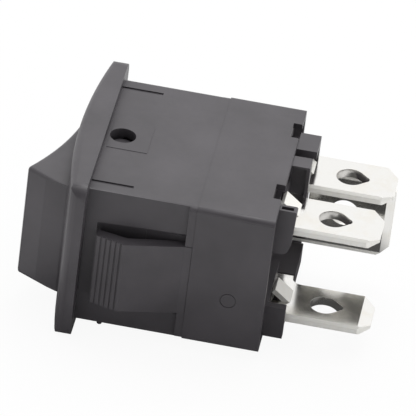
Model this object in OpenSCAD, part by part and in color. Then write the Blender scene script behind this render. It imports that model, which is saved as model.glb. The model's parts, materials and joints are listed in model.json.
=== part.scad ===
// Double-pole panel rocker switch: snap-in housing, rocker, sprung plungers,
// seesaw contact levers and four push-on terminals.
// X runs along the bezel, Y runs back from the panel, Z is across the two poles.
// The origin is the middle of the bezel's back face, which lies on the panel.

/* [Body] */
// Length of the body along the bezel
body_l = 18.1; // [17:0.1:22]
// Width of the body across the poles
body_w = 12.9; // [12.2:0.1:15.5]
// Depth of the body behind the panel
body_d = 15.4; // [15:0.1:18.4]
// Thickness of the end walls
end_wall = 0.8; // [0.6:0.05:1.2]
// Thickness of the long side walls
side_wall = 0.9; // [0.6:0.05:1.1]
// Thickness of the rear wall
rear_wall = 1.0; // [0.8:0.1:1.6]
// Depth of the recess inside the rear rim
rim_depth = 0.8; // [0.4:0.1:1]
// Radius of the body's long edges
body_r = 0.5; // [0.2:0.1:0.8]
// Depth at which the two mould halves met
parting_y = 9; // [8.6:0.1:10]
// Draft step at the mould line
mould_step = 0.06; // [0.02:0.01:0.1]

/* [Bezel] */
// Overhang of the bezel past the body's ends
bezel_end = 1.55; // [1.2:0.05:2.2]
// Overhang of the bezel past the body's sides
bezel_side = 0.85; // [0.6:0.05:1.4]
// Thickness of the bezel at its crown
bezel_t = 2.3; // [2:0.1:2.8]
// Radius of the lengthwise crown
crown_r = 56; // [45:1:90]
// Radius of the bezel's corners seen from the front
bezel_corner = 1.2; // [0.5:0.1:3]
// Radius of the bezel's long front edges
bezel_edge = 0.5; // [0.3:0.05:0.8]
// Radius of the bezel's end front edges
end_edge = 1.1; // [0.5:0.05:1.1]

/* [Latches] */
// Width of each latch tongue
latch_w = 6.5; // [5:0.1:7.5]
// Offset of the latches toward the lower pole
latch_shift = -0.6; // [-0.8:0.05:0]
// Depth at which the tongue leaves the end wall
latch_root = 8.35; // [7.5:0.05:8.5]
// Height of the latch peak above the end wall
latch_peak = 1.3; // [0.8:0.05:1.4]
// Depth of the latch peak
latch_peak_y = 3.65; // [3:0.05:4]
// Thickness of the tongue
latch_t = 0.9; // [0.7:0.05:1.1]
// Number of gripping steps
latch_steps = 6; // [4:1:8]
// Pitch of the gripping steps along the depth
step_pitch = 0.43; // [0.3:0.01:0.5]
// Slot above each tongue
latch_slot = 0.65; // [0.4:0.05:0.9]

/* [Rocker] */
// Depth of the pivot axis behind the panel
pivot_y = 1.3; // [1.1:0.1:1.6]
// Radius of the rocker's pivot pins
pin_r = 1.05; // [0.8:0.05:1.2]
// Tilt of the rocker each way from the middle
tilt = 15; // [10:0.5:15]
// Length of the rocker across its two noses
rocker_l = 13.8; // [12.6:0.1:14.2]
// Height of the noses in front of the panel, rocker level
nose_h = 4.1; // [3.4:0.1:4.4]
// Radius of the dished front
dish_r = 24; // [20:1:40]
// Reach of the plunger tip from the pivot axis
plunger_reach = 7.6; // [7:0.1:8]
// Radius of the plungers
plunger_r = 1.2; // [1:0.05:1.3]

/* [Contacts] */
// Distance of each pole from the middle
pole_z = 2.95; // [2.7:0.05:3.2]
// Swing of the seesaw levers each way
lever_swing = 8; // [5:0.5:8]
// Width of the levers
lever_w = 2.8; // [2:0.1:3]
// Thickness of the levers
lever_t = 0.4; // [0.3:0.05:0.5]
// Distance of the contacts from the lever's fulcrum
contact_x = 4.6; // [4.2:0.1:4.8]
// Radius of the contact heads
contact_r = 1.15; // [0.9:0.05:1.2]
// Height of the contact heads
contact_h = 0.5; // [0.3:0.05:0.6]
// Wire radius of the plunger springs
wire_r = 0.12; // [0.08:0.01:0.15]

/* [Terminals] */
// Width of the flat push-on tabs
tab_w = 4.8; // [4:0.1:5]
// Width of the blade that stands on edge
blade_w = 7.4; // [5:0.1:7.4]
// Thickness of the terminal strip
tab_t = 0.8; // [0.5:0.05:0.9]
// Reach of the tab tips behind the panel
tab_tip = 24; // [22:0.1:26]
// Distance of the tab centres from the middle
tab_x = 3.38; // [3.2:0.02:3.5]
// Height of the upper tabs' outer face
upper_tab_z = 4.17; // [4:0.01:4.4]
// Height of the lower tab's inner face
lower_tab_z = -4.33; // [-4.4:0.01:-4.2]
// Radius of the hole in each tab
tab_hole_r = 1.2; // [0.8:0.05:1.4]

/* [Fits] */
// Clearance all round a turning pin
run_gap = 0.04; // [0.02:0.01:0.08]
// Clearance of the rocker in the bezel's window
rocker_gap = 0.15; // [0.1:0.01:0.25]
// Clearance of the terminals in their slots
slot_gap = 0.06; // [0.04:0.01:0.1]
// Gap left between closed contacts
closed_gap = 0.05; // [0.03:0.01:0.1]

/* [Hidden] */
$fn = 48;
eps = 0.02;

// Body and bezel
hl = body_l / 2;
hw = body_w / 2;
bezel_l = body_l + 2 * bezel_end;
bezel_w = body_w + 2 * bezel_side;
crown_y = crown_r - bezel_t;
base_y = body_d - rim_depth;
floor_y = base_y - rear_wall;
room_l = hl - end_wall;
room_w = hw - side_wall;
web = 0.35;
web_y = 5;

// Latches
recess = 0.4;
latch_z0 = latch_shift - latch_w / 2;
latch_z1 = latch_shift + latch_w / 2;
step_drop = 0.125;
groove = 0.18;
latch_tip = latch_peak_y - latch_steps * step_pitch;

// Pole centres and rocker
nose_x = rocker_l / 2;
skirt_r = nose_x + 0.87;
window_l = 2 * (skirt_r + rocker_gap + 0.33);
rocker_w = 2 * (room_w - rocker_gap - 0.2);
skin = 1.4;
pin_end = hw - 0.5;
cheek = 1;
dish_y = -nose_h + (dish_r - sqrt(dish_r * dish_r - nose_x * nose_x));
tower_r = plunger_r + 0.7;
tower_end = pivot_y + plunger_reach - 2.6;
bore_bottom = dish_y + skin + 0.75;

// Plungers and springs
plunger_bore = 0.85;
tip_r = 0.6;
plunger_top = pivot_y + 0.7;
spring_r = plunger_bore - wire_r - 0.18;
spring_end = pivot_y + plunger_reach - 2.1;
turns = 8;

// Seesaw levers, at the pose where the +X contacts are closed
valley_y = pivot_y + plunger_reach + 0.06;
ridge_r = 0.45;
fulcrum_y = valley_y + 0.5;
lever_top = fulcrum_y - 0.5 * cos(lever_swing);
lever_bottom = lever_top + lever_t;
shank_r = 0.4;

// Terminals
saddle_y = fulcrum_y + 0.15;
seat_y = lever_bottom + 2 * contact_h + closed_gap;
shelf_in = pole_z - lever_w / 2;
root_y = 16.8;
plinth_y = body_d + 0.05;
stand_x = -5.7;
stand_z = -4.35;
tab_corner = 1;
hole_y = 19.9;
far_hole_y = 20.15;
push_in = 0.25;
upper_root = 0.6;
lower_root = 1.3;
lance_w = 1.9;
lance_l = 1.75;
lance_t = 0.45;
lance_rise = 38;

module block(x0, x1, y0, y1, z0, z1) {
    translate([x0, y0, z0]) cube([x1 - x0, y1 - y0, z1 - z0]);
}

// Draws a flat shape in X and Z and runs it back along Y
module along_y(y0, y1) {
    translate([0, y0, 0]) rotate([-90, 0, 0]) linear_extrude(y1 - y0) mirror([0, 1]) children();
}

// Draws a flat shape in X and Y and runs it up along Z
module along_z(z0, z1) {
    translate([0, 0, z0]) linear_extrude(z1 - z0) children();
}

module round_rect(w, h, r) {
    square([w - 2 * r, h], center = true);
    square([w, h - 2 * r], center = true);
    for (sx = [-1, 1])
        for (sy = [-1, 1])
            translate([sx * (w / 2 - r), sy * (h / 2 - r)]) circle(r);
}

module rod_y(x, z, r, y0, y1) {
    translate([x, y0, z]) rotate([-90, 0, 0]) cylinder(r = r, h = y1 - y0);
}

// ---- Housing ----

// The bezel's long edges follow the crown, its end edges are straight
module bezel() {
    edge_r = crown_r - bezel_edge;
    end_r = crown_r - end_edge;
    edge_x = bezel_l / 2 - end_edge;
    edge_y = crown_y - sqrt(end_r * end_r - edge_x * edge_x) - eps;
    intersection() {
        along_y(-bezel_t - 1, 0) round_rect(bezel_l, bezel_w, bezel_corner);
        translate([0, crown_y, 0]) rotate_extrude($fn = 180) {
            translate([crown_r - 4, -bezel_w / 2]) square([4 - bezel_edge, bezel_w]);
            translate([crown_r - 4, bezel_edge - bezel_w / 2]) square([4, bezel_w - 2 * bezel_edge]);
            for (s = [-1, 1])
                translate([edge_r, s * (bezel_w / 2 - bezel_edge)]) circle(bezel_edge);
        }
        along_z(-bezel_w / 2, bezel_w / 2) {
            translate([-edge_x, -bezel_t - 1]) square([2 * edge_x, bezel_t + 1]);
            for (s = [-1, 1]) translate([s * edge_x, edge_y]) circle(end_edge);
            translate([-bezel_l / 2, edge_y]) square([bezel_l, -edge_y]);
        }
    }
}

module body_outer() {
    along_y(-0.5, parting_y)
        round_rect(body_l - 2 * mould_step, body_w - 2 * mould_step, body_r);
    along_y(parting_y, body_d) round_rect(body_l, body_w, body_r);
}

// One tongue: it leaves the wall at its root, ramps out to the peak and steps back down
module latch_tongue() {
    steps = [
        for (i = [0:latch_steps - 1])
            let (y = latch_peak_y - i * step_pitch, x = hl + latch_peak - i * step_drop)
                each [[x, y], [x, y - step_pitch + 0.14], [x - groove, y - step_pitch + 0.1],
                      [x - groove, y - step_pitch + 0.02]]
    ];
    tip_x = hl + latch_peak - latch_steps * step_drop;
    along_z(latch_z0, latch_z1)
        polygon(concat(
            [[hl - end_wall, latch_root + 0.6], [hl, latch_root + 0.6], [hl, latch_root]],
            steps,
            [[tip_x - latch_t, latch_tip], [hl + latch_peak - latch_t - 0.2, latch_peak_y],
             [hl - end_wall, latch_root - 0.6]]
        ));
}

module latch_window() {
    block(room_l - eps, hl + 1, latch_tip - 0.55, latch_root, latch_z0 - 0.35, latch_z1 + latch_slot);
}

module end_recess() {
    block(hl - recess, hl + 1, 0, latch_root, -hw - 1, hw + 1);
}

module pole_room(s) {
    end = room_l - 0.3;
    block(-end, end, web_y, floor_y, s > 0 ? web : -room_w, s > 0 ? room_w : -web);
}

// Collar walls and plinths that stand on the rear wall round the terminals
module collars() {
    top = hw - 0.25;
    foot = base_y - eps;
    block(-5.6, -3, foot, 17.15, upper_tab_z + slot_gap, top);
    block(-1.9, -0.35, foot, 16.95, 2.3, top);
    translate([5.7, 0, 0]) rotate([90, 0, 90]) linear_extrude(0.9) polygon([
        [foot, 2], [16.1, 2], [16.45, 2.2], [16.7, 2.9], [16.85, top - 0.1], [16.75, top], [foot, top]
    ]);
    block(5.85, 6.6, foot, 17, -top, -3.3);
    block(-6.9, 6.6, foot, plinth_y, 2.6, 4.9);
    block(-0.6, 6.6, foot, plinth_y, -top, -3.4);
    block(-5.2, 0.2, foot, 16.9, -top, lower_tab_z);
    block(0.2 - eps, 5.85 + eps, foot, 16.9, -top, lower_tab_z - tab_t - slot_gap);
    block(-7.4, -6.75, foot, 16.6, -5.6, -0.2);
}

// Pockets that leave room for the lances and lighten the collars
module collar_pockets() {
    top = hw - 0.25;
    block(-4.85, -2.7, plinth_y, 18, 4, 5.5);
    block(5.95, 6.38, 15.55, 16.55, top - 1.1, top + 1);
    block(1.8, 4.2, plinth_y - 0.4, 18, 4, 5.5);
    block(-0.7, 0, plinth_y, 16.7, 3.6, 6);
    translate([-0.7, (plinth_y + 16.7) / 2, 3.6]) rotate([0, 90, 0])
        cylinder(r = (16.7 - plinth_y) / 2, h = 2);
}

module terminal_slots() {
    for (x = [-tab_x, tab_x]) {
        x0 = x - tab_w / 2 - upper_root - slot_gap;
        x1 = x + tab_w / 2 + slot_gap;
        block(x0, x1, floor_y - 1, 18, upper_tab_z - tab_t - slot_gap, upper_tab_z + slot_gap);
    }
    block(tab_x - tab_w / 2 - lower_root - slot_gap, tab_x + tab_w / 2 + slot_gap, floor_y - 1, 18,
          lower_tab_z - tab_t - slot_gap, lower_tab_z + slot_gap);
    block(stand_x - tab_t / 2 - slot_gap, stand_x + tab_t / 2 + slot_gap, floor_y - 1, 18,
          stand_z - slot_gap, -1 + slot_gap);
}

module side_marks() {
    for (x = [-7.4, 7.4])
        block(x - 0.18, x + 0.18, 0, 3.45, hw - 0.35, hw + 1);
    for (x = [-5.35, 4.3])
        block(x - 1.1, x + 1.1, body_d - 0.75, body_d + eps, hw - side_wall - 0.6, hw + 1);
    translate([hl - 0.06, 12.4, -1.8]) rotate([0, 90, 0]) difference() {
        cylinder(r = 0.68, h = 1);
        cylinder(r = 0.6, h = 1);
    }
}

module housing() {
    color([0.13, 0.13, 0.135]) {
        difference() {
            union() {
                bezel();
                difference() {
                    body_outer();
                    block(-room_l - 0.1, room_l + 0.1, base_y, body_d + 1, -room_w - 0.4, room_w + 0.4);
                }
                block(-2.05, 2.05, 0.25, 3.65, hw - 0.5, hw + 0.08);
                block(-2.05, 2.05, 0.25, 3.65, -hw - 0.08, -hw + 0.5);
                difference() {
                    collars();
                    collar_pockets();
                }
                translate([hl - 1.4, 2.06, -hw + 0.02]) rotate([0, 90, 0]) cylinder(r = 0.22, h = 0.9);
            }
            along_y(-bezel_t - 1, web_y) square([window_l, rocker_w + 2 * rocker_gap], center = true);
            block(-room_l, room_l, 1.2, web_y + eps, -room_w, room_w);
            pole_room(1);
            pole_room(-1);
            translate([0, pivot_y, -hw - 1]) cylinder(r = pin_r + run_gap, h = body_w + 2);
            for (s = [0, 1]) mirror([s, 0, 0]) {
                end_recess();
                latch_window();
            }
            terminal_slots();
            side_marks();
        }
        for (s = [0, 1]) mirror([s, 0, 0]) latch_tongue();
    }
}

// ---- Rocker ----

module at_tilt() {
    translate([0, pivot_y, 0]) rotate([0, 0, -tilt]) translate([0, -pivot_y, 0]) children();
}

module rocker_outline() {
    difference() {
        union() {
            intersection() {
                translate([0, pivot_y]) circle(skirt_r, $fn = 96);
                translate([-10, -2]) square([20, pivot_y + 3.2]);
            }
            polygon([
                [-nose_x + 0.35, -nose_h - 0.4], [nose_x - 0.35, -nose_h - 0.4],
                [nose_x + 0.05, -nose_h + 0.25], [nose_x + 0.5, -nose_h + 2],
                [skirt_r - 0.11, -0.07], [-skirt_r + 0.11, -0.07],
                [-nose_x - 0.5, -nose_h + 2], [-nose_x - 0.05, -nose_h + 0.25]
            ]);
        }
        translate([0, dish_y - dish_r]) circle(dish_r, $fn = 180);
    }
}

module rocker() {
    color([0.15, 0.15, 0.155]) at_tilt() difference() {
        union() {
            difference() {
                along_z(-rocker_w / 2, rocker_w / 2) rocker_outline();
                along_z(-rocker_w / 2 + cheek, rocker_w / 2 - cheek) intersection() {
                    translate([0, pivot_y]) circle(skirt_r - 1.15, $fn = 96);
                    translate([-10, dish_y + skin]) square([20, 20]);
                }
            }
            for (s = [-1, 1]) {
                rod_y(0, s * pole_z, tower_r, dish_y + skin - 0.3, tower_end);
                translate([0, pivot_y, 0]) rotate([s > 0 ? 0 : 180, 0, 0]) {
                    translate([0, 0, rocker_w / 2 - 0.3])
                        cylinder(r = pin_r, h = pin_end - rocker_w / 2 + 0.1);
                    translate([0, 0, pin_end - 0.2])
                        cylinder(r1 = pin_r, r2 = pin_r - 0.2, h = 0.2);
                }
            }
        }
        for (s = [-1, 1])
            rod_y(0, s * pole_z, plunger_r + run_gap, bore_bottom, tower_end + 1);
    }
}

module plunger(s) {
    nose_y = pivot_y + plunger_reach - tip_r;
    color([0.85, 0.83, 0.78]) at_tilt() difference() {
        union() {
            rod_y(0, s * pole_z, plunger_r, plunger_top, nose_y - 0.7);
            translate([0, nose_y - 0.7, s * pole_z]) rotate([-90, 0, 0])
                cylinder(r1 = plunger_r, r2 = tip_r, h = 0.7);
            translate([0, nose_y, s * pole_z]) sphere(tip_r);
        }
        rod_y(0, s * pole_z, plunger_bore, plunger_top - 1, spring_end);
    }
}

// One helix of wire from the bottom of the rocker's bore to the plunger's cup
module spring(s) {
    per_turn = 12;
    sides = 6;
    rings = turns * per_turn;
    y0 = bore_bottom + wire_r + 0.04;
    rise = spring_end - bore_bottom - 2 * wire_r - 0.08;
    points = [
        for (i = [0:rings])
            let (a = 360 * i / per_turn, y = y0 + rise * i / rings)
                for (k = [0:sides - 1])
                    let (b = 360 * k / sides, r = spring_r + wire_r * cos(b))
                        [r * cos(a), y + wire_r * sin(b), s * pole_z + r * sin(a)]
    ];
    walls = [
        for (i = [0:rings - 1])
            for (k = [0:sides - 1])
                let (n = (k + 1) % sides)
                    [i * sides + k, i * sides + n, (i + 1) * sides + n, (i + 1) * sides + k]
    ];
    caps = [
        [for (k = [sides - 1:-1:0]) k],
        [for (k = [0:sides - 1]) rings * sides + k]
    ];
    color([0.7, 0.7, 0.72]) at_tilt() polyhedron(points, concat(walls, caps));
}

// ---- Contacts ----

module at_pole(s) {
    translate([0, 0, s * pole_z]) children();
}

// A shallow V of strip with a ridge under its middle, tilted so that one wing lies flat
module lever(s) {
    drop = tan(lever_swing);
    left = 3.3;
    right = contact_x + contact_r + 0.15;
    color([0.78, 0.6, 0.3]) at_pole(s) difference() {
        translate([0, fulcrum_y, 0]) rotate([0, 0, lever_swing]) translate([0, -fulcrum_y, 0])
            along_z(-lever_w / 2, lever_w / 2) {
                polygon([
                    [-left, valley_y - left * drop], [0, valley_y], [right, valley_y - right * drop],
                    [right, valley_y - right * drop + lever_t], [0, valley_y + lever_t],
                    [-left, valley_y - left * drop + lever_t]
                ]);
                translate([0, fulcrum_y]) circle(ridge_r);
            }
        rod_y(contact_x, 0, shank_r, lever_top - 1, lever_bottom + 1);
    }
}

module moving_contact(s) {
    color([0.86, 0.86, 0.84]) at_pole(s) {
        rod_y(contact_x, 0, contact_r, lever_bottom, lever_bottom + contact_h);
        rod_y(contact_x, 0, shank_r, lever_top - 0.25, lever_bottom + 0.1);
        rod_y(contact_x, 0, shank_r + 0.35, lever_top - 0.25, lever_top);
    }
}

module fixed_contact(s) {
    color([0.86, 0.86, 0.84]) at_pole(s) {
        rod_y(contact_x, 0, contact_r, seat_y - contact_h, seat_y);
        rod_y(contact_x, 0, shank_r, seat_y - 0.1, seat_y + tab_t);
    }
}

// ---- Terminals ----

// Flat outline of a tab and its root, with the tab's middle on X = 0
module tab_outline(w, root_left, y0) {
    h = w / 2;
    fillet = min(0.8, root_left - 0.05);
    polygon([
        [-h, root_y], [-h, tab_tip - tab_corner], [-h + tab_corner, tab_tip],
        [h - tab_corner, tab_tip], [h, tab_tip - tab_corner], [h, y0], [-h - root_left, y0],
        [-h - root_left, root_y]
    ]);
    difference() {
        translate([-h - fillet, root_y - eps]) square([fillet + eps, fillet + eps]);
        translate([-h - fillet, root_y + fillet]) circle(fillet);
    }
}

// Round hole with a small notch towards the tip
module tab_hole() {
    notch = 0.38;
    circle(tab_hole_r);
    translate([0, tab_hole_r]) circle(notch);
    polygon([
        [-tab_hole_r * sin(42), tab_hole_r * cos(42)], [-notch * 0.86, tab_hole_r + notch * 0.5],
        [notch * 0.86, tab_hole_r + notch * 0.5], [tab_hole_r * sin(42), tab_hole_r * cos(42)]
    ]);
}

// A push-on tab with bevelled edges, its hole and its locking lance, lying in X and Y
module tab(w, root_left, y0, hole = hole_y) {
    bevel = 0.2;
    lance_y = 17.05;
    difference() {
        intersection() {
            along_z(-tab_t, 0) tab_outline(w, root_left, y0);
            along_y(y0, tab_tip) translate([-root_left / 2, -tab_t / 2]) polygon([
                for (c = [[-1, -1], [1, -1], [1, 1], [-1, 1]])
                    for (e = c[0] * c[1] > 0 ? [[0, 1], [1, 0]] : [[1, 0], [0, 1]])
                        [c[0] * (w / 2 + root_left / 2 - e[0] * bevel),
                         c[1] * (tab_t / 2 - e[1] * bevel)]
            ]);
            rotate([0, 90, 0]) translate([0, 0, -w]) linear_extrude(2 * w) polygon([
                [0, y0], [0, tab_tip - 1], [0.25, tab_tip], [tab_t - 0.25, tab_tip],
                [tab_t, tab_tip - 1], [tab_t, y0]
            ]);
        }
        translate([0, hole, -2]) linear_extrude(4) tab_hole();
        block(-lance_w / 2 - 0.4, lance_w / 2 - 0.4, 15.6, lance_y, -2, 1);
    }
    translate([-0.4, lance_y, -0.14]) rotate([-lance_rise, 0, 0])
        block(-lance_w / 2, lance_w / 2, -lance_l, 0.2, -lance_t + 0.14, 0.14);
}

// The strip inside the housing folds over into a shelf that carries the fixed contact
module contact_terminal(s) {
    z1 = s > 0 ? upper_tab_z : lower_tab_z;
    z0 = z1 - tab_t;
    x1 = tab_x + tab_w / 2;
    near = s * shelf_in;
    color([0.82, 0.81, 0.78]) {
        translate([tab_x, s > 0 ? -push_in : 0, z1])
            tab(tab_w, s > 0 ? upper_root : lower_root, floor_y - 0.9);
        block(x1 - 2.6, x1, seat_y, floor_y - 0.8, z0, z1);
        difference() {
            block(x1 - 2.6, x1, seat_y, seat_y + tab_t, s > 0 ? near : z0, s > 0 ? z1 : near);
            rod_y(contact_x, s * pole_z, shank_r, seat_y - 1, seat_y + tab_t + 1);
        }
    }
}

// The saddle that the lever rocks in: a shelf with a round groove across it
module saddle(x0, z0, z1) {
    difference() {
        block(x0, 1, saddle_y, saddle_y + tab_t, z0, z1);
        translate([0, fulcrum_y, z0 - 1]) cylinder(r = ridge_r + 0.05, h = z1 - z0 + 2);
    }
}

module common_terminal_upper() {
    z0 = upper_tab_z - tab_t;
    x0 = -tab_x - tab_w / 2;
    color([0.82, 0.81, 0.78]) {
        translate([-tab_x, 0, upper_tab_z]) tab(tab_w, upper_root, floor_y - 0.9, far_hole_y);
        block(x0, x0 + 3, saddle_y, floor_y - 0.8, z0, upper_tab_z);
        saddle(x0, shelf_in, upper_tab_z);
    }
}

// This terminal's tab stands on edge, and its root passes the wall beside the lower pole
module common_terminal_lower() {
    half = tab_t / 2;
    top = stand_z + blade_w;
    color([0.82, 0.81, 0.78]) {
        difference() {
            intersection() {
                translate([stand_x - half, 0, 0]) rotate([90, 0, 90]) linear_extrude(tab_t) polygon([
                    [saddle_y, stand_z], [tab_tip - tab_corner, stand_z],
                    [tab_tip, stand_z + tab_corner], [tab_tip, top - tab_corner],
                    [tab_tip - tab_corner, top], [root_y, top], [root_y, -1], [saddle_y, -1]
                ]);
                translate([stand_x, 0, 0]) along_z(stand_z - 1, top + 1) polygon([
                    [-half, 0], [half, 0], [half, tab_tip - 0.7], [half - 0.2, tab_tip],
                    [0.2 - half, tab_tip], [-half, tab_tip - 0.7]
                ]);
                translate([stand_x, 0, 0]) along_y(0, tab_tip + 1) polygon([
                    [0.15 - half, stand_z], [half - 0.15, stand_z], [half, stand_z + 0.4],
                    [half, top - 0.4], [half - 0.15, top], [0.15 - half, top],
                    [-half, top - 0.4], [-half, stand_z + 0.4]
                ]);
            }
            translate([stand_x - 2, hole_y, stand_z + blade_w / 2]) rotate([90, 0, 90])
                linear_extrude(4) rotate([0, 0, -90]) tab_hole();
        }
        saddle(stand_x - half, -pole_z - lever_w / 2, -shelf_in);
    }
}

housing();
rocker();
plunger(1);  // plunger_upper
plunger(-1);  // plunger_lower
spring(1);  // spring_upper
spring(-1);  // spring_lower
lever(1);  // lever_upper
lever(-1);  // lever_lower
moving_contact(1);  // moving_contact_upper
moving_contact(-1);  // moving_contact_lower
fixed_contact(1);  // fixed_contact_upper
fixed_contact(-1);  // fixed_contact_lower
contact_terminal(1);  // contact_terminal_upper
contact_terminal(-1);  // contact_terminal_lower
common_terminal_upper();
common_terminal_lower();
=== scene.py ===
import bpy
import bmesh
import json
import math
from mathutils import Matrix, Vector


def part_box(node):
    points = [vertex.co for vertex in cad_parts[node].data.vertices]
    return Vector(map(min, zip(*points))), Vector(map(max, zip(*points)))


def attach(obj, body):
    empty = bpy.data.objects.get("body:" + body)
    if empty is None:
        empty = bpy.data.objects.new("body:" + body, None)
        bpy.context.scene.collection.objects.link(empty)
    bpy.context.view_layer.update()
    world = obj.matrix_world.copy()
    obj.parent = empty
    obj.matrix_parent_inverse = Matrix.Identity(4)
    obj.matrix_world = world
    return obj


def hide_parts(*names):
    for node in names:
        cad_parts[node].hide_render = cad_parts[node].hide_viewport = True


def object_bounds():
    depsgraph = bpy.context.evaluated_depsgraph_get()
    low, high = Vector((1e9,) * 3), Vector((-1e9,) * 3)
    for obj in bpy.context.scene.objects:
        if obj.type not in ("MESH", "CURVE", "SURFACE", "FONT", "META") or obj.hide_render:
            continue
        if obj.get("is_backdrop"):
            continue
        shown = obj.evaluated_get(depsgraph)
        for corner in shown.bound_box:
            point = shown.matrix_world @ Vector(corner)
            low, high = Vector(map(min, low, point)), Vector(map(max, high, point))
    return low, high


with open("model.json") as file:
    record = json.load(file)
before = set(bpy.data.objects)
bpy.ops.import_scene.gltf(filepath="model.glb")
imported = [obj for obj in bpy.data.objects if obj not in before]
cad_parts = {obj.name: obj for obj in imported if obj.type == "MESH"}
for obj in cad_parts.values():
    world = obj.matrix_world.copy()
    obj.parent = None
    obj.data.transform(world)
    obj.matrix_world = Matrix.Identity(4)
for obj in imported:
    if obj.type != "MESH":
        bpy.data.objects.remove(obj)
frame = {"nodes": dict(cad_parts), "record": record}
nodes = frame["nodes"]
low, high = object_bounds()
print("stage: frame loaded")

mm = 0.001


# sRGB hex to a linear colour with alpha
def linear(hexCode):
    out = []
    for i in (0, 2, 4):
        c = int(hexCode[i:i + 2], 16) / 255
        out.append(c / 12.92 if c <= 0.04045 else ((c + 0.055) / 1.055) ** 2.4)
    return (*out, 1)


# adds one shader node; an input's value is a number, a colour or another node's socket
def addNode(tree, kind, inputs=None, **settings):
    node = tree.nodes.new(kind)
    for name, value in settings.items():
        setattr(node, name, value)
    for name, value in (inputs or {}).items():
        if isinstance(value, bpy.types.NodeSocket):
            tree.links.new(value, node.inputs[name])
        else:
            node.inputs[name].default_value = value
    return node


def startMaterial(name):
    material = bpy.data.materials.new(name)
    material.use_nodes = True
    tree = material.node_tree
    shader = tree.nodes["Principled BSDF"]
    # Object coordinates are in metres, so this turns them into millimetres
    place = addNode(tree, "ShaderNodeTexCoord").outputs["Object"]
    inMm = addNode(tree, "ShaderNodeVectorMath", {0: place, 1: (1000, 1000, 1000)}, operation="MULTIPLY")
    return material, tree, shader, inMm.outputs[0]


# Moulded nylon: satin black, fine spark-eroded grain, faint flow tone
nylon = {
    "housing": "4d4a4e",
    "rocker": "4d4a4e",
    "tone": 0.16,
    "rough": 0.4,
    "specular": 0.38,
    "grainMm": 0.09,
    "grainDepth": 0.0045,
    "flowMm": 5,
}


def mouldedNylon(name, hexCode):
    material, tree, shader, at = startMaterial(name)
    flow = addNode(tree, "ShaderNodeTexNoise", {
        "Vector": at, "Scale": 1 / nylon["flowMm"], "Detail": 4.0})
    grain = addNode(tree, "ShaderNodeTexNoise", {
        "Vector": at, "Scale": 1 / nylon["grainMm"], "Detail": 2.0})
    scuff = addNode(tree, "ShaderNodeTexNoise", {
        "Vector": at, "Scale": 1.4, "Detail": 8.0, "Roughness": 0.7})
    base = linear(hexCode)
    tone = addNode(tree, "ShaderNodeMapRange", {
        "Value": flow.outputs["Fac"], "From Min": 0.3, "From Max": 0.7,
        "To Min": 1 - nylon["tone"], "To Max": 1 + nylon["tone"]})
    colour = addNode(tree, "ShaderNodeVectorMath", {
        0: base[:3], "Scale": tone.outputs[0]}, operation="SCALE")
    rough = addNode(tree, "ShaderNodeMapRange", {
        "Value": scuff.outputs["Fac"], "From Min": 0.3, "From Max": 0.75,
        "To Min": nylon["rough"] - 0.05, "To Max": nylon["rough"] + 0.08})
    bump = addNode(tree, "ShaderNodeBump", {
        "Height": grain.outputs["Fac"], "Strength": 0.35, "Distance": nylon["grainDepth"] * mm})
    tree.links.new(colour.outputs[0], shader.inputs["Base Color"])
    tree.links.new(rough.outputs[0], shader.inputs["Roughness"])
    tree.links.new(bump.outputs[0], shader.inputs["Normal"])
    shader.inputs["IOR"].default_value = 1.53
    shader.inputs["Specular IOR Level"].default_value = nylon["specular"]
    return material


# Bright tin plate over rolled brass: fine rolling lines along the strip, thin wear
tin = {
    "hex": "e6e5e2",
    "warm": "ded8cb",
    "rough": 0.11,
    "lineMm": 0.05,
    "lineLengthMm": 6,
    "lineDepth": 0.0012,
    "wearMm": 1.8,
}


def tinPlate(name, along):
    material, tree, shader, at = startMaterial(name)
    stretch = [1 / tin["lineMm"]] * 3
    stretch[along] = 1 / tin["lineLengthMm"]
    lines = addNode(tree, "ShaderNodeVectorMath", {0: at, 1: stretch}, operation="MULTIPLY")
    rolled = addNode(tree, "ShaderNodeTexNoise", {"Vector": lines.outputs[0], "Scale": 1.0, "Detail": 2.0})
    wear = addNode(tree, "ShaderNodeTexNoise", {"Vector": at, "Scale": 1 / tin["wearMm"], "Detail": 6.0})
    warmth = addNode(tree, "ShaderNodeMapRange", {
        "Value": wear.outputs["Fac"], "From Min": 0.5, "From Max": 0.8, "To Min": 0.0, "To Max": 0.55})
    colour = addNode(tree, "ShaderNodeMix", {
        "Factor": warmth.outputs[0], "A": linear(tin["hex"]), "B": linear(tin["warm"])}, data_type="RGBA")
    rough = addNode(tree, "ShaderNodeMapRange", {
        "Value": wear.outputs["Fac"], "From Min": 0.3, "From Max": 0.7,
        "To Min": tin["rough"] - 0.04, "To Max": tin["rough"] + 0.06})
    bump = addNode(tree, "ShaderNodeBump", {
        "Height": rolled.outputs["Fac"], "Strength": 0.3, "Distance": tin["lineDepth"] * mm})
    tree.links.new(colour.outputs["Result"], shader.inputs["Base Color"])
    tree.links.new(rough.outputs[0], shader.inputs["Roughness"])
    tree.links.new(bump.outputs[0], shader.inputs["Normal"])
    shader.inputs["Metallic"].default_value = 1.0
    return material


# Sheared strip edge: the tin is dragged thin over the cut, so it is matt and slightly creamy
def shearedEdge(name):
    material, tree, shader, at = startMaterial(name)
    drag = addNode(tree, "ShaderNodeTexNoise", {"Vector": at, "Scale": 3.0, "Detail": 5.0})
    colour = addNode(tree, "ShaderNodeMix", {
        "Factor": drag.outputs["Fac"], "A": linear("fdfdfb"), "B": linear("f6f3ea")}, data_type="RGBA")
    tree.links.new(colour.outputs["Result"], shader.inputs["Base Color"])
    shader.inputs["Metallic"].default_value = 0.15
    shader.inputs["Roughness"].default_value = 0.5
    return material


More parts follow.
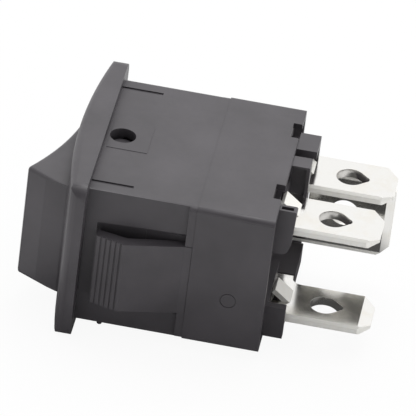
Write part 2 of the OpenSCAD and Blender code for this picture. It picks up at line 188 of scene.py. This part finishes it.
# Plain metals for the punched holes and the contacts inside, and the plungers' acetal
def plainMetal(name, hexCode, rough, scaleMm):
    material, tree, shader, at = startMaterial(name)
    cloud = addNode(tree, "ShaderNodeTexNoise", {"Vector": at, "Scale": 1 / scaleMm, "Detail": 5.0})
    dark = [c * 0.8 for c in linear(hexCode)[:3]] + [1]
    colour = addNode(tree, "ShaderNodeMix", {
        "Factor": cloud.outputs["Fac"], "A": linear(hexCode), "B": dark}, data_type="RGBA")
    spread = addNode(tree, "ShaderNodeMapRange", {
        "Value": cloud.outputs["Fac"], "From Min": 0.3, "From Max": 0.7,
        "To Min": rough - 0.06, "To Max": rough + 0.06})
    tree.links.new(colour.outputs["Result"], shader.inputs["Base Color"])
    tree.links.new(spread.outputs[0], shader.inputs["Roughness"])
    shader.inputs["Metallic"].default_value = 1.0
    return material


def acetal(name):
    material, tree, shader, at = startMaterial(name)
    cloud = addNode(tree, "ShaderNodeTexNoise", {"Vector": at, "Scale": 0.8, "Detail": 4.0})
    colour = addNode(tree, "ShaderNodeMix", {
        "Factor": cloud.outputs["Fac"], "A": linear("e6e2d6"), "B": linear("d6d1c2")}, data_type="RGBA")
    tree.links.new(colour.outputs["Result"], shader.inputs["Base Color"])
    shader.inputs["Roughness"].default_value = 0.35
    shader.inputs["IOR"].default_value = 1.48
    return material


housingNylon = mouldedNylon("housing_nylon", nylon["housing"])
rockerNylon = mouldedNylon("rocker_nylon", nylon["rocker"])
tinAlong = tinPlate("tinned_brass", 1)
shearedTin = shearedEdge("sheared_tin_edge")
punchedTin = plainMetal("punched_tin_edge", "dcdad6", 0.3, 0.8)
# a darker copy of the nylon for the webs behind the latches: painted shade, not a different plastic
paintedShadeNylon = mouldedNylon("painted_shade_nylon", "2b292b")
bronze = plainMetal("lever_bronze", "c9985a", 0.28, 1.5)
silver = plainMetal("contact_silver", "d9d8d3", 0.3, 0.8)
wire = plainMetal("spring_wire", "b4b5b8", 0.25, 0.6)
plungerAcetal = acetal("plunger_acetal")
print("stage: materials")

# CAD nodes: finish, slot and edge softening in mm
finishes = {
    "housing": (housingNylon, "housing_nylon", 0.05, "housing"),
    "rocker": (rockerNylon, "rocker_nylon", 0.09, "rocker"),
    "contact_terminal_upper": (tinAlong, "tinned_brass", 0.03, "housing"),
    "contact_terminal_lower": (tinAlong, "tinned_brass", 0.03, "housing"),
    "common_terminal_upper": (tinAlong, "tinned_brass", 0.03, "housing"),
    "common_terminal_lower": (tinAlong, "tinned_brass", 0.03, "housing"),
    "lever_upper": (bronze, "lever_bronze", 0, "lever_upper"),
    "lever_lower": (bronze, "lever_bronze", 0, "lever_lower"),
    "moving_contact_upper": (silver, "contact_silver", 0, "lever_upper"),
    "moving_contact_lower": (silver, "contact_silver", 0, "lever_lower"),
    "fixed_contact_upper": (silver, "contact_silver", 0, "housing"),
    "fixed_contact_lower": (silver, "contact_silver", 0, "housing"),
    "plunger_upper": (plungerAcetal, "plunger_acetal", 0, "plunger_upper"),
    "plunger_lower": (plungerAcetal, "plunger_acetal", 0, "plunger_lower"),
    "spring_upper": (wire, "spring_steel", 0, "rocker"),
    "spring_lower": (wire, "spring_steel", 0, "rocker"),
}


def setMaterial(obj, material):
    obj.data.materials.clear()
    obj.data.materials.append(material)


# a face leans away from the strip's flat below flatShare, and a tip bevel leans only a little
strip = {"flatShare": 0.985, "bevelShare": 0.9, "bevelRise": 0.2, "holeMm": 1.75}


# gives the cut edges of a strip their own finishes; flatAxis is across its thickness
def markSheared(obj, flatAxis):
    obj.data.materials.append(shearedTin)
    obj.data.materials.append(punchedTin)
    for face in obj.data.polygons:
        lean = abs(face.normal[flatAxis])
        tipBevel = lean > strip["bevelShare"] and face.normal.y > strip["bevelRise"]
        if lean < strip["flatShare"] and not tipBevel:
            atHole = any((face.center - hole).length < strip["holeMm"] * mm for hole in holes)
            face.material_index = 2 if atHole else 1


# rounds the sharp edges that choose() picks by their two ends, given in mm
def roundEdges(bm, choose, widthMm, segments, sharperThan=35):
    picked = []
    for edge in bm.edges:
        if edge.is_manifold and edge.calc_face_angle(0) > math.radians(sharperThan):
            ends = [v.co / mm for v in edge.verts]
            if choose(*ends):
                picked.append(edge)
    bmesh.ops.bevel(bm, geom=picked, offset=widthMm * mm, segments=segments, profile=0.5,
                    affect="EDGES", clamp_overlap=False)


# a welded copy of the CAD mesh with small rounds on its sharp edges
def softened(nodeName, name, widthMm, reshape=None):
    mesh = nodes[nodeName].data.copy()
    bm = bmesh.new()
    bm.from_mesh(mesh)
    bmesh.ops.remove_doubles(bm, verts=bm.verts, dist=0.000002)
    bmesh.ops.dissolve_limit(bm, angle_limit=math.radians(0.5), verts=bm.verts, edges=bm.edges)
    if reshape:
        reshape(bm)
    bm.to_mesh(mesh)
    bm.free()
    obj = bpy.data.objects.new(name, mesh)
    bpy.context.scene.collection.objects.link(obj)
    bevel = obj.modifiers.new("softEdges", "BEVEL")
    bevel.width = widthMm * mm
    bevel.segments = 2
    bevel.limit_method = "ANGLE"
    bevel.angle_limit = math.radians(35)
    bevel.use_clamp_overlap = True
    bevel.harden_normals = True
    graph = bpy.context.evaluated_depsgraph_get()
    final = bpy.data.meshes.new_from_object(obj.evaluated_get(graph))
    obj.modifiers.clear()
    obj.data = final
    return obj


# Sizes read from the frame; the bezel's overhang and the rocker's tilt at rest are given here
bezelOverhangMm = 0.85
rockerJoint = [j for j in frame["record"]["behaviour"]["joints"] if j["name"] == "rocker_tilt"][0]
frameMm = {
    "bodySide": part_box("housing")[1][2] / mm - bezelOverhangMm,
    "pinEnd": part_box("rocker")[1][2] / mm,
    "tilt": 15,
    "pivotY": rockerJoint["pos_m"][1] / mm,
}
holes = [Vector(m["pos_m"]) for m in frame["record"]["mounts"] if m["name"].startswith("hole_")]

# Fine shape of the two mouldings, in mm
moulding = {
    "railX": 7.4,
    "railEndY": 3.7,
    "railDeep": 0.35,
    "railShallow": 0.17,
    "padHalfX": 2.1,
    "padHigh": 0.08,
    "padLow": -0.025,
    "windowY": 0.52,
    "windowX": 8.1,
    "windowHalfZ": 4.5,
    "sillY": 1.0,
    "lipX": 8.6,
    "lipZ": 3.3,
    "lipEndY": 8.4,
    "lipRound": 0.34,
    "rimY": (15.2, 15.45),
    "rimX": 9,
    "rimEdge": 1.2,
    "rearRound": 0.16,
    "capY": -1.2,
    "capAngle": 28,
    "noseRound": 0.32,
    "pinDeeper": 0.4,
    "webX": (7.96, 8.24),
    "webY": (0.9, 5.01),
    "webZ": (-4.1, 3.38),
}


def addBlock(bm, xs, ys, zs):
    corners = [bm.verts.new(Vector((x, y, z)) * mm) for x in xs for y in ys for z in zs]
    rings = ((0, 1, 3, 2), (4, 6, 7, 5), (0, 4, 5, 1), (2, 3, 7, 6), (0, 2, 6, 4), (1, 5, 7, 3))
    return [bm.faces.new([corners[i] for i in ring]) for ring in rings]


def shapeHousing(bm):
    side = frameMm["bodySide"]
    for v in bm.verts:
        x, y, z = v.co / mm
        onRail = y < moulding["railEndY"] and abs(abs(x) - moulding["railX"]) < 0.3
        if onRail and abs(z - side + moulding["railDeep"]) < 0.02:
            v.co.z = (side - moulding["railShallow"]) * mm
        if abs(x) < moulding["padHalfX"] and abs(abs(z) - side - moulding["padHigh"]) < 0.005:
            v.co.z = math.copysign(side + moulding["padLow"], z) * mm
        inWindow = abs(x) > moulding["windowX"] and abs(z) < moulding["windowHalfZ"]
        if inWindow and abs(y - moulding["windowY"]) < 0.01:
            v.co.y = moulding["sillY"] * mm
    def isLip(p, q):
        level = all(abs(v.z - moulding["lipZ"]) < 0.02 for v in (p, q))
        return level and min(abs(p.x), abs(q.x)) > moulding["lipX"] and max(p.y, q.y) < moulding["lipEndY"]

    def isRim(p, q):
        rimStart, rimEnd = moulding["rimY"]
        onRim = min(p.y, q.y) > rimStart and max(p.y, q.y) < rimEnd and (p - q).length > moulding["rimEdge"]
        return onRim and (min(p.z, q.z) > side - 0.01 or min(p.x, q.x) > moulding["rimX"])

    roundEdges(bm, isLip, moulding["lipRound"], 6)
    roundEdges(bm, isRim, moulding["rearRound"], 3)
    # a thin web behind each latch closes the view into the rocker's room; its faces take a darker copy of
    # the nylon, painted shade for the dark slot
    for sign in (-1, 1):
        webX = sorted(sign * x for x in moulding["webX"])
        for face in addBlock(bm, webX, moulding["webY"], moulding["webZ"]):
            face.material_index = 1


def shapeRocker(bm):
    for v in bm.verts:
        x, y, z = v.co / mm
        if abs(z) > frameMm["pinEnd"] - 0.3:
            v.co.z = math.copysign(abs(z) - moulding["pinDeeper"], z) * mm
    # height in front of the panel with the rocker level
    turnBack = Matrix.Rotation(math.radians(frameMm["tilt"]), 3, "Z")
    pivot = Vector((0, frameMm["pivotY"], 0))

    def isCap(p, q):
        return all((turnBack @ (v - pivot) + pivot).y < moulding["capY"] for v in (p, q))

    roundEdges(bm, isCap, moulding["noseRound"], 4, moulding["capAngle"])


reshapes = {"housing": shapeHousing, "rocker": shapeRocker}
# the axis across each terminal's thickness
strips = {
    "contact_terminal_upper": 2,
    "contact_terminal_lower": 2,
    "common_terminal_upper": 2,
    "common_terminal_lower": 0,
}

for nodeName, (material, slotName, soften, body) in finishes.items():
    if soften:
        copy = softened(nodeName, nodeName + "_finish", soften, reshapes.get(nodeName))
        setMaterial(copy, material)
        if nodeName == "housing":
            # second slot: the darker nylon that paints shade on the webs
            copy.data.materials.append(paintedShadeNylon)
        if nodeName in strips:
            markSheared(copy, strips[nodeName])
        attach(copy, body)
        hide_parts(nodeName)
    else:
        setMaterial(nodes[nodeName], material)
print("stage: CAD finishes")

# Studio: white table, a bright room behind the switch and a dim one in front, soft lamp above
studio = {
    "floorZ": low[2],
    "sizeM": 3.0,
    "paper": "f4f4f4",
    "whiten": 0.93,
    # painted shadow in the floor's reflection: its X and Y spans in mm, and its darkness
    "paintedShadowX": (-14.0, -8.0, 15.0, 22.0),
    "paintedShadowY": (-10.0, -6.0, 24.5, 28.0),
    "paintedShadowGloss": 0.09,
    "bright": 1.15,
    "dim": 0.64,
    "turn": (-0.25, 0.45),
    "crewFrom": (0.8355, 0.0742, 0.5445),
    "crewSpread": (0.8, 0.96),
    "crewDark": 0.1,
    "keyPlace": (-0.14, 0.04, 0.36),
    "keySizeM": 0.2,
    "keyW": 0.45,
}

bpy.ops.mesh.primitive_plane_add(size=studio["sizeM"], location=(0, 0, studio["floorZ"]))
floor = bpy.context.object
floor.name = "studio_floor"
floorMaterial, tree, shader, at = startMaterial("studio_paper")
shader.inputs["Base Color"].default_value = linear(studio["paper"])
shader.inputs["Roughness"].default_value = 0.85
# the camera sees the paper almost white, and the rest of its shading is the object's shadow
rays = addNode(tree, "ShaderNodeLightPath")
white = addNode(tree, "ShaderNodeEmission", {"Strength": 1.0})
amount = addNode(tree, "ShaderNodeMath", {
    0: rays.outputs["Is Camera Ray"], 1: studio["whiten"]}, operation="MULTIPLY")
direct = addNode(tree, "ShaderNodeMixShader", {
    0: amount.outputs[0], 1: shader.outputs[0], 2: white.outputs[0]})
# gloss shows it white too, except for a painted shadow: a dark patch beside and under the switch, set by
# position, stands in for the switch's shadow in reflections
apart = addNode(tree, "ShaderNodeSeparateXYZ", {0: at})
clear = None
for axis, (start, dark, darkEnd, end) in (("X", studio["paintedShadowX"]), ("Y", studio["paintedShadowY"])):
    for near, far in ((dark, start), (darkEnd, end)):
        ramp = addNode(tree, "ShaderNodeMapRange", {
            "Value": apart.outputs[axis], "From Min": near, "From Max": far,
            "To Min": studio["paintedShadowGloss"], "To Max": 1.0}, interpolation_type="SMOOTHSTEP")
        if clear:
            ramp = addNode(tree, "ShaderNodeMath", {
                0: clear.outputs[0], 1: ramp.outputs[0]}, operation="MAXIMUM")
        clear = ramp
paintedShadowMirror = addNode(tree, "ShaderNodeEmission", {"Strength": clear.outputs[0]})
seen = addNode(tree, "ShaderNodeMixShader", {
    0: rays.outputs["Is Glossy Ray"], 1: direct.outputs[0], 2: paintedShadowMirror.outputs[0]})
tree.links.new(seen.outputs[0], tree.nodes["Material Output"].inputs["Surface"])
setMaterial(floor, floorMaterial)
floor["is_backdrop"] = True

world = bpy.data.worlds.new("studio_world")
bpy.context.scene.world = world
world.use_nodes = True
tree = world.node_tree
background = tree.nodes["Background"]
rays = addNode(tree, "ShaderNodeLightPath")
place = addNode(tree, "ShaderNodeTexCoord").outputs["Generated"]
apart = addNode(tree, "ShaderNodeSeparateXYZ", {0: place})
room = addNode(tree, "ShaderNodeMapRange", {
    "Value": apart.outputs["X"], "From Min": studio["turn"][0], "From Max": studio["turn"][1],
    "To Min": studio["bright"], "To Max": studio["dim"]}, interpolation_type="SMOOTHSTEP")
# people and cameras stand on one side of the room and take some of its light away
facing = addNode(tree, "ShaderNodeVectorMath", {
    0: place, 1: studio["crewFrom"]}, operation="DOT_PRODUCT")
crew = addNode(tree, "ShaderNodeMapRange", {
    "Value": facing.outputs["Value"],
    "From Min": studio["crewSpread"][0], "From Max": studio["crewSpread"][1],
    "To Min": 1.0, "To Max": studio["crewDark"]}, interpolation_type="SMOOTHSTEP")
left = addNode(tree, "ShaderNodeMath", {0: room.outputs[0], 1: crew.outputs[0]}, operation="MULTIPLY")
shown = addNode(tree, "ShaderNodeMix", {
    "Factor": rays.outputs["Is Camera Ray"], "A": left.outputs[0], "B": 1.0}, data_type="FLOAT")
tree.links.new(shown.outputs["Result"], background.inputs["Strength"])
background.inputs["Color"].default_value = (1, 1, 1, 1)


def areaLight(name, place, target, size, power):
    data = bpy.data.lights.new(name, "AREA")
    data.size = size
    data.energy = power
    light = bpy.data.objects.new(name, data)
    bpy.context.scene.collection.objects.link(light)
    light.location = place
    aim = Vector(target) - Vector(place)
    light.rotation_euler = aim.to_track_quat("-Z", "Y").to_euler()
    return light


areaLight("key_light", studio["keyPlace"], (0, 0.01, 0), studio["keySizeM"], studio["keyW"])
print("stage: studio")

# Camera: a long lens from the side, above and behind the panel
camera = {
    "placeMm": (416.78, 46.03, 272.5),
    "right": (-0.157, 0.9818, 0.1072),
    "forward": (-0.8355, -0.0742, -0.5445),
    "lensMm": 522.3,
}
cameraData = bpy.data.cameras.new("camera")
cameraData.lens = camera["lensMm"]
cameraData.sensor_width = 36
cameraData.clip_start = 0.01
cameraObject = bpy.data.objects.new("camera", cameraData)
bpy.context.scene.collection.objects.link(cameraObject)
right = Vector(camera["right"]).normalized()
forward = Vector(camera["forward"]).normalized()
up = right.cross(forward).normalized()
right = forward.cross(up)
turn = Matrix((right, up, -forward)).transposed()
cameraObject.matrix_world = Matrix.Translation(Vector(camera["placeMm"]) * mm) @ turn.to_4x4()
bpy.context.scene.camera = cameraObject
bpy.context.scene.view_settings.view_transform = "Standard"
print("stage: camera")

low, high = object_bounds()
